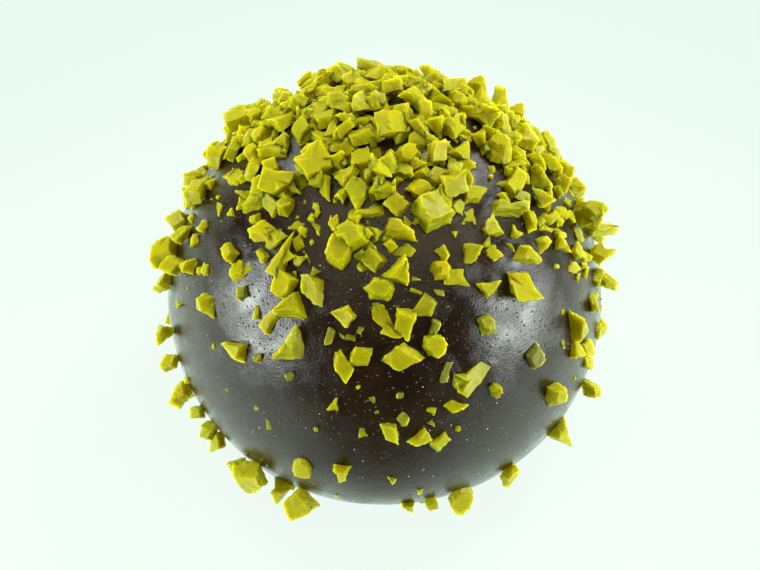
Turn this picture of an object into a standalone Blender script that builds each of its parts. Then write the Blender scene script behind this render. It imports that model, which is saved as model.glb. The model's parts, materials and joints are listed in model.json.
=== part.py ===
"""A chocolate praline: a domed piece with a dark coat, strewn with broken yellow sugar chips.

Metres, +Z up. The origin is the middle of the flat foot, and -Y is the front.
A place on the coat is given as degrees around from the front, to the right when positive,
and as a length down the coat from the tip of the dome.
"""
import bisect
import math
import random
from collections import namedtuple

import bmesh
import bpy
from mathutils import Matrix, Vector

MM = 0.001

# The coated body, a turned dome that tucks in towards a flat foot
COAT_RADIUS = 0.0150
WIDEST_HEIGHT = 0.0082
CROWN_RISE = 0.0156
CROWN_POWER = 1.85
TUCK_WIDTH = 0.0095
TUCK_DEPTH = 0.0102
FOOT_ROUND = 0.0003
CROWN_RINGS = 11
TUCK_RINGS = 5
TURN_STEPS = 40
FINE_CROWN_RINGS = 200
FINE_TUCK_RINGS = 120
MERGE_GAP = 1e-7

# The coat's soft lobes: waves around it, depth as a share of the radius, where they start in radians
LOBES = ((2, 0.0060, 0.5), (3, 0.0045, 2.1), (5, 0.0025, 4.0))

# The chips: how many are fused to the body and how many there are in all, their lengths, how far the
# small ones outnumber the large, the narrowest as a share of its length, how thickly they lie on the
# cap and on the side, how many places each one tries, and how far they stay off the floor
CHIP_COUNT = 250
STREWN_COUNT = 740
LONGEST_CHIP = 0.0019
SHORTEST_CHIP = 0.0006
SMALL_SHARE = 1.30
NARROWEST = 0.60
CAP_COVER = 0.95
CAP_REACH = 0.0119
SIDE_COVER = 0.07
TRIED_PLACES = 7
FLOOR_GAP = 0.0004

# How a chip lies: how far it rests up on its neighbours, how deep its lowest corner is in the coat,
# and in degrees the lean of a chip that lies flat or stands, and how far it is rolled over its length.
# The leans of the placed and the standing chips vary by a factor. A drawn chip leans and rolls least
# where the chips are sparse, and the higher the power, the fewer of them lean far.
PILING = 0.70
ROOT_DEPTH = 0.00025
FLAT_LEAN = 5
STEEP_LEAN = 42
FLAT_ROLL = 8
STEEP_ROLL = 48
FLAT_FACTOR = (1, 3)
STEEP_FACTOR = (0.7, 1.2)
SPARSE_SHARE = 0.5
LEAN_POWER = 2
SEED = 28

# The front below the cap is nearly bare, highest in its middle. Its chips are placed one by one, and
# only crumbs up to a certain length are drawn there too, at a share of the places they draw.
BARE_AROUND = 68
BARE_DOWN = 0.0088
BARE_SIDE_DOWN = 0.0112
CRUMB_LENGTH = 0.0008
BARE_SHARE = 0.12

# Patches of the cap and the shoulders that stayed bare: degrees around, mm down, radius in mm,
# and how far a chip may reach into one as a share of its size
BARE_PATCHES = (
    (-76, 5.8, 0.9), (-47, 6.9, 0.6), (-50, 8.6, 0.5), (-33, 6.3, 0.4), (-28, 8.0, 0.5), (-3, 6.4, 0.5),
    (13, 5.8, 0.4), (20, 7.7, 0.8), (34, 7.6, 0.8), (41, 8.2, 0.8), (53, 9.8, 0.5), (55, 7.7, 0.4),
    (67, 7.0, 0.8), (80, 6.0, 0.6), (-81, 11.2, 0.5), (-72, 12.9, 1.1), (-70, 14.4, 0.6),
    (-86, 14.2, 0.7), (-69, 17.6, 0.9), (77, 14.5, 0.6), (84, 16.3, 0.5), (22, 1.5, 0.3),
    (23, 3.6, 0.3),
    (-63, 11.2, 0.9), (14, 8.6, 0.7), (-89, 12.7, 0.9), (-80, 11.3, 0.7), (-102, 14.7, 0.6),
)
PATCH_OVERLAP = 0.1

# How unevenly a chip breaks: twist of its corners, slope, shift of its top, where edges are sliced off,
# and how far in a notched chip's deepest corner lies
CORNER_TWIST = 1.2
SLOPE_RANGE = (0.4, 1.4)
STEEPEST_SHARE = 0.8
TOP_SHIFT = 0.16
SLICE_RISE = (0.2, 1.2)
SLICE_DEPTH = (0.30, 0.42)
NOTCH = (0.20, 0.55)

# kind: corners, thickness as a share of width, width and length of the top, slope in degrees,
# unevenness of the outline, sliced edges, whether it is notched
KINDS = {
    "block": (4, 0.66, 0.94, 0.94, 8, 0.08, 2, False),
    "slab": (4, 0.46, 0.90, 0.94, 16, 0.20, 2, False),
    "shard": (5, 0.38, 0.92, 0.90, 16, 0.22, 0, True),
    "wedge": (3, 0.55, 0.62, 0.74, 22, 0.16, 0, False),
    "splinter": (3, 0.42, 0.90, 0.94, 14, 0.26, 0, False),
    "ridge": (4, 0.55, 0.16, 0.72, 10, 0.20, 0, False),
    "kite": (4, 0.46, 0.50, 0.46, 14, 0.26, 0, False),
    "flake": (5, 0.22, 0.92, 0.92, 12, 0.26, 0, True),
    "lump": (6, 0.72, 0.66, 0.70, 12, 0.12, 1, False),
    "disc": (8, 0.36, 0.84, 0.84, 8, 0.06, 1, False),
    "rod": (4, 0.78, 0.70, 0.88, 8, 0.12, 0, False),
}
DRAWN_KINDS = ("shard", "wedge", "slab", "kite", "splinter", "shard", "ridge", "wedge", "slab", "flake",
               "splinter", "lump", "block")

# Chips that stand out: degrees around, mm down, length mm, width mm, turn in degrees, kind.
# A turn of 0 points the chip's tip down the coat, and 90 points it to the right.
PLACED_CHIPS = (
    # Around the cap
    (25, 6.4, 1.9, 1.8, 5, "block"), (8, 7.1, 2.2, 1.5, 58, "wedge"), (9, 5.2, 1.7, 1.6, 4, "slab"),
    (-4, 7.2, 1.1, 1.0, 0, "wedge"), (-4, 8.5, 1.6, 1.4, 10, "slab"), (-15, 7.3, 2.4, 1.8, 70, "lump"),
    (-18, 8.5, 2.4, 1.9, 20, "slab"), (-8, 5.9, 1.7, 0.9, -60, "wedge"),
    (-18, 4.9, 2.3, 1.6, 20, "slab"), (-25, 2.8, 2.0, 1.6, -10, "slab"),
    (18, 3.2, 1.8, 1.2, 20, "slab"),
    (-60, 4.7, 2.0, 1.9, 0, "block"), (-100, 5.3, 2.3, 1.7, 90, "slab"),
    (-90, 7.2, 2.0, 1.4, 0, "wedge"),
    (-66, 7.3, 2.1, 1.7, -50, "block"), (-54, 7.8, 1.4, 1.1, 0, "lump"),
    (-34, 7.5, 1.3, 0.6, 30, "flake"), (-38, 8.3, 0.8, 0.8, 0, "lump"),
    (60, 5.0, 1.5, 1.2, 150, "slab"),
    (42, 4.5, 1.7, 1.3, 70, "slab"), (54, 6.8, 2.0, 1.1, 70, "slab"), (44, 7.4, 1.3, 0.9, 50, "flake"),
    (60, 2.2, 1.9, 1.3, 80, "slab"), (77, 8.7, 2.0, 1.0, 80, "block"),
    # Down the front, left to right
    (-68, 9.4, 2.0, 1.3, -10, "wedge"), (-62, 9.7, 1.1, 1.0, 0, "kite"),
    (-61, 12.4, 1.5, 0.8, 90, "rod"),
    (-54, 12.9, 1.4, 1.2, 0, "disc"), (-51, 11.8, 1.5, 0.6, -15, "flake"),
    (-42, 9.8, 2.8, 1.3, 186, "wedge"), (-58, 16.2, 2.2, 1.6, 80, "kite"),
    (-48, 13.6, 1.1, 1.0, 0, "slab"), (-43, 16.9, 1.8, 1.4, -80, "wedge"),
    (-41, 12.1, 1.0, 0.7, 0, "flake"), (-37, 9.0, 0.9, 0.8, 0, "slab"),
    (-35, 13.7, 2.0, 0.7, -15, "rod"),
    (-35, 11.4, 2.3, 1.6, 50, "slab"), (-30, 9.3, 1.0, 0.8, 40, "flake"),
    (-30, 12.7, 2.1, 1.8, -40, "wedge"), (-26, 14.3, 2.3, 1.8, 180, "wedge"),
    (-24, 10.9, 2.1, 1.4, 40, "slab"), (-16, 13.3, 1.1, 0.6, 0, "rod"),
    (-13, 12.0, 1.6, 1.3, 90, "shard"),
    (-12, 14.9, 2.2, 1.2, 15, "slab"), (-13, 17.6, 1.1, 0.9, 180, "wedge"),
    (-7, 14.4, 1.7, 1.3, -50, "slab"), (-2, 11.9, 2.1, 1.1, 15, "flake"),
    (-4, 17.0, 1.0, 0.7, 90, "flake"), (-5, 19.3, 1.1, 0.7, -30, "flake"),
    (-2, 10.3, 1.9, 1.4, 90, "lump"), (6, 9.1, 1.9, 1.7, 150, "wedge"),
    (3, 12.7, 1.4, 1.1, 60, "wedge"),
    (7, 12.1, 2.0, 1.5, 20, "slab"), (13, 11.4, 1.6, 1.3, 90, "flake"), (5, 14.2, 2.7, 1.6, 90, "slab"),
    (14, 13.8, 1.6, 1.5, 0, "disc"), (15, 12.8, 1.1, 0.5, 155, "rod"), (1, 19.0, 1.7, 1.1, 55, "slab"),
    (4, 18.3, 1.1, 0.9, 0, "slab"), (8, 20.0, 1.5, 1.3, -70, "wedge"),
    (13, 20.4, 1.5, 1.1, -20, "slab"),
    (17, 18.1, 1.6, 0.9, 80, "slab"), (12, 18.9, 0.8, 0.6, 30, "wedge"),
    (16, 15.7, 1.3, 0.5, -25, "rod"),
    (24, 16.6, 2.8, 1.2, -70, "flake"), (22, 9.6, 1.4, 1.2, 20, "lump"),
    (27, 10.3, 1.6, 1.0, 70, "flake"), (36, 9.3, 1.7, 1.4, 90, "flake"),
    (44, 10.2, 1.4, 0.9, 50, "slab"),
    (50, 9.0, 1.6, 1.4, 40, "slab"), (62, 8.9, 2.5, 0.9, 40, "rod"), (67, 10.6, 1.8, 1.3, -60, "wedge"),
    (37, 11.8, 1.6, 1.3, 90, "wedge"), (31, 13.6, 1.2, 0.9, -5, "block"),
    (29, 18.0, 1.2, 0.9, 0, "lump"),
    (47, 13.1, 2.8, 2.2, 20, "slab"), (54, 11.9, 1.9, 1.3, 20, "wedge"),
    (64, 12.2, 1.5, 1.4, 20, "kite"),
    (42, 17.3, 1.3, 1.0, 5, "block"), (46, 21.0, 2.0, 1.5, 20, "lump"),
    (57, 19.9, 1.7, 1.2, 30, "slab"),
    (53, 18.3, 0.9, 0.6, -20, "wedge"), (60, 17.9, 2.4, 1.7, 175, "wedge"),
    (62, 20.8, 1.4, 1.3, 20, "slab"), (63, 22.4, 1.5, 1.1, 10, "slab"),
    (-20, 23.4, 2.0, 1.4, 5, "disc"),
    (-10, 23.3, 2.0, 1.3, -5, "wedge"),
    # Small ones between them
    (-80, 12.1, 1.0, 0.7, 60, "splinter"), (-49, 10.8, 1.0, 0.5, 80, "rod"),
    (-41, 13.9, 1.0, 0.4, 30, "rod"), (-29, 20.8, 0.7, 0.5, 0, "shard"),
    (-27, 10.1, 0.9, 0.7, -30, "wedge"),
    (-17, 19.8, 0.5, 0.5, 0, "lump"), (-13, 13.2, 0.6, 0.3, 70, "rod"), (-2, 17.8, 0.5, 0.3, 20, "rod"),
    (8, 8.0, 1.5, 0.8, 80, "flake"), (11, 10.6, 1.0, 0.5, 60, "ridge"), (18, 19.8, 0.5, 0.5, 0, "lump"),
    (19, 10.8, 0.9, 0.6, 20, "shard"), (20, 11.7, 0.6, 0.4, 90, "wedge"),
    (29, 8.9, 1.2, 0.4, 60, "flake"),
    (34, 11.9, 0.4, 0.4, 0, "lump"), (70, 15.3, 1.2, 0.8, 40, "shard"),
    (78, 13.0, 0.9, 0.9, 0, "wedge"),
    (-96, 8.8, 1.3, 1.1, 0, "lump"), (-39, 9.9, 1.2, 1.0, 20, "shard"),
    (76, 15.4, 1.4, 1.1, 20, "slab"), (9, 25.4, 0.6, 0.5, 0, "lump"),
)

# Chips that stand away from the coat at its lower edge and its sides, their tips raised
STANDING_CHIPS = (
    (-36, 27.4, 3.2, 2.7, -15, "slab"), (-41, 28.0, 2.0, 1.5, -10, "slab"),
    (-28, 28.7, 2.0, 1.6, 0, "wedge"), (-21, 28.4, 2.5, 2.2, 0, "slab"),
    (-53, 27.2, 1.9, 1.3, -30, "slab"), (-50, 28.0, 1.9, 1.4, -10, "slab"),
    (-56, 26.0, 1.5, 1.1, -20, "slab"), (-63, 26.0, 2.2, 1.5, 0, "wedge"),
    (-70, 24.8, 2.0, 1.3, 0, "slab"), (-73, 22.4, 1.9, 1.5, 10, "kite"),
    (-87, 18.8, 1.8, 1.4, 0, "block"), (-83, 20.6, 1.8, 1.3, 10, "slab"),
    (-79, 17.6, 1.9, 1.4, -20, "slab"), (-85, 16.2, 1.9, 1.3, 0, "slab"),
    (-94, 17.3, 1.9, 1.3, -30, "slab"), (-102, 15.0, 1.7, 1.1, 0, "lump"),
    (-119, 11.7, 2.3, 2.0, 0, "slab"), (90, 15.6, 2.2, 2.0, 0, "lump"),
    (94, 18.3, 2.9, 1.3, 20, "wedge"),
    (84, 18.0, 1.7, 1.3, 20, "slab"), (82, 20.2, 1.8, 1.2, -20, "slab"),
    (65, 25.8, 2.2, 1.5, 10, "kite"),
    (51, 27.1, 2.2, 1.9, 10, "wedge"), (33, 27.3, 1.9, 1.3, -30, "slab"),
    (20, 27.7, 1.9, 1.8, 0, "disc"),
    (12, 27.8, 1.3, 1.0, -30, "slab"), (7, 28.6, 1.3, 1.0, 20, "wedge"),
    (143, 11.2, 1.7, 1.5, 0, "lump"), (137, 12.0, 2.2, 1.3, 60, "wedge"),
    (129, 12.4, 1.9, 1.5, 20, "slab"),
    (124, 13.8, 1.3, 0.8, 0, "wedge"),
)

# The chocolate's colour as linear red, green and blue, and its roughness
CHOCOLATE = (0.030, 0.018, 0.012, 1)
CHOCOLATE_ROUGHNESS = 0.3

Chip = namedtuple("Chip", "around down length width turn kind lean roll lift")


def coat_outline(crown_rings, tuck_rings):
    """Half outline of the coat as (radius, height), from the tip down to the foot."""
    power = 2 / CROWN_POWER
    outline = [(0.0, WIDEST_HEIGHT + CROWN_RISE)]
    for ring in range(1, crown_rings + 1):
        angle = math.pi / 2 * ring / crown_rings
        radius = COAT_RADIUS * math.sin(angle) ** power
        height = WIDEST_HEIGHT + CROWN_RISE * max(math.cos(angle), 0.0) ** power
        outline.append((radius, height))
    foot_angle = math.asin((WIDEST_HEIGHT - FOOT_ROUND) / TUCK_DEPTH)
    for ring in range(1, tuck_rings + 1):
        angle = foot_angle * ring / tuck_rings
        radius = COAT_RADIUS - TUCK_WIDTH * (1 - math.cos(angle))
        outline.append((radius, WIDEST_HEIGHT - TUCK_DEPTH * math.sin(angle)))
    outline.append((outline[-1][0] - FOOT_ROUND, 0.0))
    return outline


def out_of_round(radius, angle):
    """The coat isn't a perfect round: a few soft lobes."""
    return radius * (1 + sum(depth * math.sin(waves * angle + start) for waves, depth, start in LOBES))


class CoatPlaces:
    """Turns degrees around and metres down into a point on the coat and its directions."""

    def __init__(self):
        self.outline = coat_outline(FINE_CROWN_RINGS, FINE_TUCK_RINGS)
        self.lengths = [0.0]
        for (r0, z0), (r1, z1) in zip(self.outline, self.outline[1:]):
            self.lengths.append(self.lengths[-1] + math.hypot(r1 - r0, z1 - z0))
        self.reach = self.lengths[-1]

    def at(self, around, down):
        step = min(max(bisect.bisect_left(self.lengths, down), 1), len(self.lengths) - 1)
        (r0, z0), (r1, z1) = self.outline[step - 1], self.outline[step]
        share = (down - self.lengths[step - 1]) / (self.lengths[step] - self.lengths[step - 1])
        angle = math.radians(around)
        outward = Vector((math.sin(angle), -math.cos(angle), 0))
        radius = out_of_round(r0 + (r1 - r0) * share, angle)
        point = outward * radius + Vector((0, 0, z0 + (z1 - z0) * share))
        slope = (outward * (r1 - r0) + Vector((0, 0, z1 - z0))).normalized()
        sideways = Vector((math.cos(angle), math.sin(angle), 0))
        return point, slope, slope.cross(sideways)


def cover(down):
    """How thickly the chips lie: a heap on the cap that thins out down the side."""
    return CAP_COVER * math.exp(-(down / CAP_REACH) ** 2) + SIDE_COVER


def in_bare_front(around, down):
    """Whether a place is on the nearly bare front below the cap."""
    edge = BARE_DOWN + (BARE_SIDE_DOWN - BARE_DOWN) * abs(around) / BARE_AROUND
    return abs(around) < BARE_AROUND and down > edge


def piled_on(point, size, taken):
    """How far a chip is lifted by the ones that already lie under it."""
    lift = 0.0
    for other, reach, top in taken:
        overlap = max(0.0, 1 - (point - other).length / (size + reach))
        lift = max(lift, PILING * top * overlap)
    return lift


def drawn_place(rng, places, length, size, taken, bare):
    """The roomiest of a few places, drawn more often where the chips lie thickly."""
    best_room = -1
    best = None
    tried = 0
    while tried < TRIED_PLACES:
        around = rng.uniform(-180, 180)
        down = rng.uniform(0, places.reach - length)
        point = places.at(around, down)[0]
        if rng.random() > cover(down) * math.hypot(point.x, point.y) / COAT_RADIUS:
            continue
        if in_bare_front(around, down) and (length > CRUMB_LENGTH or rng.random() > BARE_SHARE):
            continue
        if any((point - middle).length < radius + (1 - PATCH_OVERLAP) * size for middle, radius in bare):
            continue
        tried += 1
        room = min((point - other).length / (size + reach) for other, reach, top in taken)
        room *= math.sqrt(cover(down))
        if room > best_room:
            best_room = room
            best = (around, down)
    return best


def strewn_chips(places):
    """Every chip with its place, size and lean: the placed ones, then the drawn ones, largest first."""
    chips = []
    taken = []
    bare = [(places.at(around, down * MM)[0], radius * MM) for around, down, radius in BARE_PATCHES]

    def lay(around, down, length, width, turn, kind, lean, roll):
        point = places.at(around, down)[0]
        size = (length + width) / 4
        lift = piled_on(point, size, taken)
        taken.append((point, size, lift + KINDS[kind][1] * width - ROOT_DEPTH))
        chips.append(Chip(around, down, length, width, turn, kind, lean, roll, lift))

    rng = random.Random(SEED)
    for around, down, length, width, turn, kind in PLACED_CHIPS:
        lean = rng.uniform(*FLAT_FACTOR) * FLAT_LEAN
        lay(around, down * MM, length * MM, width * MM, turn, kind, lean, rng.uniform(-1, 1) * FLAT_ROLL)
    for around, down, length, width, turn, kind in STANDING_CHIPS:
        lean = rng.uniform(*STEEP_FACTOR) * STEEP_LEAN
        lay(around, down * MM, length * MM, width * MM, turn, kind, lean, rng.uniform(-1, 1) * FLAT_ROLL)
    rng = random.Random(SEED)
    drawn = STREWN_COUNT - len(chips)
    for rank in range(drawn):
        length = SHORTEST_CHIP + (LONGEST_CHIP - SHORTEST_CHIP) * (1 - rank / drawn) ** SMALL_SHARE
        width = length * rng.uniform(NARROWEST, 1)
        around, down = drawn_place(rng, places, length, (length + width) / 4, taken, bare)
        steepness = SPARSE_SHARE + (1 - SPARSE_SHARE) * cover(down)
        lean = FLAT_LEAN + STEEP_LEAN * rng.random() ** LEAN_POWER * steepness
        roll = STEEP_ROLL * rng.uniform(-1, 1) * steepness
        lay(around, down, length, width, rng.uniform(-180, 180), rng.choice(DRAWN_KINDS), lean, roll)
    return chips


def slice_edge(bm, centre, direction):
    """Breaks off what lies past a plane and closes the cut."""
    geometry = bm.verts[:] + bm.edges[:] + bm.faces[:]
    cut = bmesh.ops.bisect_plane(bm, geom=geometry, plane_co=centre, plane_no=direction, clear_outer=True)
    rim = [item for item in cut["geom_cut"] if isinstance(item, bmesh.types.BMEdge)]
    if rim:
        bmesh.ops.holes_fill(bm, edges=rim, sides=0)


def broken_outline(bm, rng, length, width, kind):
    """The chip's uneven outline as one flat face, its tip at +Y."""
    corners, unevenness, notched = KINDS[kind][0], KINDS[kind][5], KINDS[kind][7]
    bmesh.ops.create_circle(bm, cap_ends=True, radius=0.5, segments=corners)
    if kind in ("block", "rod", "ridge"):
        bmesh.ops.rotate(bm, verts=bm.verts[:], matrix=Matrix.Rotation(math.pi / 4, 3, "Z"))
    for vert in bm.verts:
        shifted = Matrix.Rotation(rng.uniform(-CORNER_TWIST, CORNER_TWIST) * unevenness, 3, "Z") @ vert.co
        vert.co = shifted * rng.uniform(1 - unevenness, 1 + unevenness)
    if notched:
        deepest = rng.choice(bm.verts[:])
        deepest.co *= rng.uniform(*NOTCH)
    across = [vert.co.x for vert in bm.verts]
    along = [vert.co.y for vert in bm.verts]
    middle = Vector(((max(across) + min(across)) / 2, (max(along) + min(along)) / 2, 0))
    bmesh.ops.translate(bm, verts=bm.verts[:], vec=-middle)
    stretch = (width / (max(across) - min(across)), length / (max(along) - min(along)), 1)
    bmesh.ops.scale(bm, verts=bm.verts[:], vec=stretch)


def broken_chip(rng, length, width, kind):
    """One broken chip lying flat, its underside at z = 0."""
    corners, thickness, top_width, top_length, slope, unevenness, slices, notched = KINDS[kind]
    height = thickness * width
    bm = bmesh.new()
    broken_outline(bm, rng, length, width, kind)
    lifted = bmesh.ops.extrude_face_region(bm, geom=bm.faces[:])["geom"]
    top = [item for item in lifted if isinstance(item, bmesh.types.BMVert)]
    bmesh.ops.scale(bm, verts=top, vec=(top_width, top_length, 1))
    heading = Matrix.Rotation(rng.uniform(-math.pi, math.pi), 3, "Z")
    steepest = STEEPEST_SHARE * math.atan(height / length)
    tilt = Matrix.Rotation(min(math.radians(slope) * rng.uniform(*SLOPE_RANGE), steepest), 3, "X")
    bmesh.ops.rotate(bm, verts=top, matrix=heading @ tilt @ heading.inverted())
    aside = rng.uniform(-TOP_SHIFT, TOP_SHIFT) * width
    forward = rng.uniform(-TOP_SHIFT, TOP_SHIFT) * length
    bmesh.ops.translate(bm, verts=top, vec=(aside, forward, height))
    bmesh.ops.recalc_face_normals(bm, faces=bm.faces[:])
    middle = Vector((0, 0, height / 2))
    for cut in range(slices):
        angle = rng.uniform(-math.pi, math.pi)
        outward = Vector((math.cos(angle), math.sin(angle), rng.uniform(*SLICE_RISE))).normalized()
        slice_edge(bm, middle + outward * rng.uniform(*SLICE_DEPTH) * (width + height), outward)
    return bm


def lay_on_coat(bm, places, chip):
    """Rolls a chip, raises its tip, turns it and roots its lowest corner, clear of the floor."""
    point, slope, normal = places.at(chip.around, chip.down)
    tip = Matrix.Rotation(math.radians(chip.turn), 3, normal) @ slope
    frame = Matrix((tip.cross(normal), tip, normal)).transposed()
    raised = Matrix.Rotation(math.radians(chip.lean), 3, "X")
    rolled = Matrix.Rotation(math.radians(chip.roll), 3, "Y")
    bmesh.ops.rotate(bm, verts=bm.verts[:], matrix=raised @ rolled)
    rooted = chip.lift - ROOT_DEPTH - min(vert.co.z for vert in bm.verts)
    for vert in bm.verts:
        vert.co = point + frame @ (vert.co + Vector((0, 0, rooted)))
    lowest = min(vert.co.z for vert in bm.verts)
    bmesh.ops.translate(bm, verts=bm.verts[:], vec=(0, 0, max(0, FLOOR_GAP - lowest)))


def coat_body():
    """The coated dome, turned around its axis."""
    bm = bmesh.new()
    verts = [bm.verts.new((0, -radius, height)) for radius, height in coat_outline(CROWN_RINGS, TUCK_RINGS)]
    verts.append(bm.verts.new((0, 0, 0)))
    edges = [bm.edges.new(pair) for pair in zip(verts, verts[1:])]
    bmesh.ops.spin(bm, geom=verts + edges, axis=(0, 0, 1), cent=(0, 0, 0), angle=math.tau,
                   steps=TURN_STEPS, use_merge=True)
    bmesh.ops.remove_doubles(bm, verts=bm.verts[:], dist=MERGE_GAP)
    for vert in bm.verts:
        radius = math.hypot(vert.co.x, vert.co.y)
        if radius > 0:
            grown = out_of_round(radius, math.atan2(vert.co.x, -vert.co.y)) / radius
            vert.co.x *= grown
            vert.co.y *= grown
    bmesh.ops.recalc_face_normals(bm, faces=bm.faces[:])
    return bm


def as_object(bm, name, collection):
    mesh = bpy.data.meshes.new(name)
    bm.to_mesh(mesh)
    bm.free()
    made = bpy.data.objects.new(name, mesh)
    collection.objects.link(made)
    return made


def islands(bm):
    """The separate shells of a mesh, as lists of faces."""
    left = set(bm.faces)
    while left:
        shell = [left.pop()]
        for face in shell:
            for edge in face.edges:
                for other in edge.link_faces:
                    if other in left:
                        left.remove(other)
                        shell.append(other)
        yield shell


def drop_folds(bm):
    """Takes out faces that lie back to back on the same corners, where fusing folded a sliver flat."""
    by_corners = {}
    for face in bm.faces:
        by_corners.setdefault(frozenset(face.verts), []).append(face)
    folded = [face for faces in by_corners.values() if len(faces) > 1 for face in faces]
    bmesh.ops.delete(bm, geom=folded, context="FACES")


def keep_outer_shell(body):
    """Fills a hollow that the fusing sealed and drops loose scraps: only the largest shell stays."""
    bm = bmesh.new()
    bm.from_mesh(body.data)
    bmesh.ops.triangulate(bm, faces=bm.faces[:])
    drop_folds(bm)
    shells = sorted(islands(bm), key=len)
    scraps = [face for shell in shells[:-1] for face in shell]
    bmesh.ops.delete(bm, geom=scraps, context="FACES")
    bm.to_mesh(body.data)
    bm.free()


def fuse(body, pieces):
    """One union joins every chip to the body."""
    union = body.modifiers.new("chips", "BOOLEAN")
    union.operation = "UNION"
    union.operand_type = "COLLECTION"
    union.collection = pieces
    union.solver = "EXACT"
    depsgraph = bpy.context.evaluated_depsgraph_get()
    fused = bpy.data.meshes.new_from_object(body.evaluated_get(depsgraph))
    body.modifiers.remove(union)
    body.data = fused
    for piece in list(pieces.objects):
        bpy.data.objects.remove(piece)
    bpy.data.collections.remove(pieces)


def dark_chocolate():
    material = bpy.data.materials.new("dark chocolate")
    material.use_nodes = True
    shader = material.node_tree.nodes["Principled BSDF"]
    shader.inputs["Base Color"].default_value = CHOCOLATE
    shader.inputs["Roughness"].default_value = CHOCOLATE_ROUGHNESS
    shader.inputs["Metallic"].default_value = 0
    return material


def build():
    for old in list(bpy.data.objects):
        bpy.data.objects.remove(old)
    scene = bpy.context.scene.collection
    places = CoatPlaces()
    praline = as_object(coat_body(), "praline", scene)
    pieces = bpy.data.collections.new("chips")
    scene.children.link(pieces)
    chips = strewn_chips(places)
    largest = sorted(range(len(chips)), key=lambda number: -chips[number].length)[:CHIP_COUNT]
    for number in sorted(largest):
        chip = chips[number]
        bm = broken_chip(random.Random(SEED + number), chip.length, chip.width, chip.kind)
        lay_on_coat(bm, places, chip)
        as_object(bm, "chip", pieces)
    fuse(praline, pieces)
    keep_outer_shell(praline)
    praline.data.materials.clear()
    praline.data.materials.append(dark_chocolate())


build()
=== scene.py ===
"""The looks of a chocolate praline: a glossy dark coat, strewn with broken yellow sugar chips.

Metres, +Z up. The origin is the middle of the flat foot, and -Y is the front.
A place on the coat is given as degrees around from the front, to the right when positive,
and as a length down the coat from the tip of the dome.
"""
import bisect
import json
import math
import random
from collections import namedtuple

import bmesh
import bpy
from mathutils import Matrix, Vector, noise
from mathutils.bvhtree import BVHTree

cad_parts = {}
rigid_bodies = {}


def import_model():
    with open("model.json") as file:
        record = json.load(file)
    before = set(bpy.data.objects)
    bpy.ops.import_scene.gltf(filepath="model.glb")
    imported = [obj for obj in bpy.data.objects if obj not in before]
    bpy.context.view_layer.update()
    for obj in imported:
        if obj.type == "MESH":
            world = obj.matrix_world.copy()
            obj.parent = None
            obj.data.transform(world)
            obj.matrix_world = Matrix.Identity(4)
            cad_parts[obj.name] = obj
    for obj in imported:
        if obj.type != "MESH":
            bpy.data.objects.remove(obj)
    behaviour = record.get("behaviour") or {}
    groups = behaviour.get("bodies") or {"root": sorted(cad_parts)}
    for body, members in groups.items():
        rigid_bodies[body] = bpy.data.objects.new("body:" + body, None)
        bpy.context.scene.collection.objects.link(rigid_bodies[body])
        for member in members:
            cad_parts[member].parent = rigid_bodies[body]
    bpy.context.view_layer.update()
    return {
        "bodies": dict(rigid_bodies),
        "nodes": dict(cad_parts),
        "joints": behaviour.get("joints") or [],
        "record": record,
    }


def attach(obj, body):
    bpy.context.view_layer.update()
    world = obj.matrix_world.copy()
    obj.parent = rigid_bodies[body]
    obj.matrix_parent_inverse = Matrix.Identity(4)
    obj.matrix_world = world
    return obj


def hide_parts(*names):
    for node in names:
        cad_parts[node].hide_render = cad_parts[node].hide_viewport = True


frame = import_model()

MM = 0.001

# The coated body, a turned dome that tucks in towards a flat foot
COAT_RADIUS = 0.0150
WIDEST_HEIGHT = 0.0082
CROWN_RISE = 0.0156
CROWN_POWER = 1.85
TUCK_WIDTH = 0.0095
TUCK_DEPTH = 0.0102
FOOT_ROUND = 0.0003
FINE_CROWN_RINGS = 200
FINE_TUCK_RINGS = 120

# The coat's soft lobes: waves around it, depth as a share of the radius, where they start in radians
LOBES = ((2, 0.0060, 0.5), (3, 0.0045, 2.1), (5, 0.0025, 4.0))

# The chips: how many there are, their lengths, how far the small ones outnumber the large, the
# narrowest as a share of its length, how thickly they lie on the cap and on the side, how many places
# each one tries, and how far they stay off the floor
STREWN_COUNT = 740
LONGEST_CHIP = 0.0019
SHORTEST_CHIP = 0.0006
SMALL_SHARE = 1.30
NARROWEST = 0.60
CAP_COVER = 0.95
CAP_REACH = 0.0119
SIDE_COVER = 0.07
TRIED_PLACES = 7
FLOOR_GAP = 0.0004

# How a chip lies: how far it rests up on its neighbours, how deep its lowest corner is in the coat,
# and in degrees the lean of a chip that lies flat or stands, and how far it is rolled over its length.
# The leans of the placed and the standing chips vary by a factor. A drawn chip leans and rolls least
# where the chips are sparse, and the higher the power, the fewer of them lean far. The seed makes all
# that is drawn come out the same each time.
PILING = 0.70
ROOT_DEPTH = 0.00025
FLAT_LEAN = 5
STEEP_LEAN = 42
FLAT_ROLL = 8
STEEP_ROLL = 48
FLAT_FACTOR = (1, 3)
STEEP_FACTOR = (0.7, 1.2)
SPARSE_SHARE = 0.5
LEAN_POWER = 2
SEED = 28

# The front below the cap is nearly bare, highest in its middle. Its chips are placed one by one, and
# only crumbs up to a certain length are drawn there too, at a share of the places they draw.
BARE_AROUND = 68
BARE_DOWN = 0.0088
BARE_SIDE_DOWN = 0.0112
CRUMB_LENGTH = 0.0008
BARE_SHARE = 0.12

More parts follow.
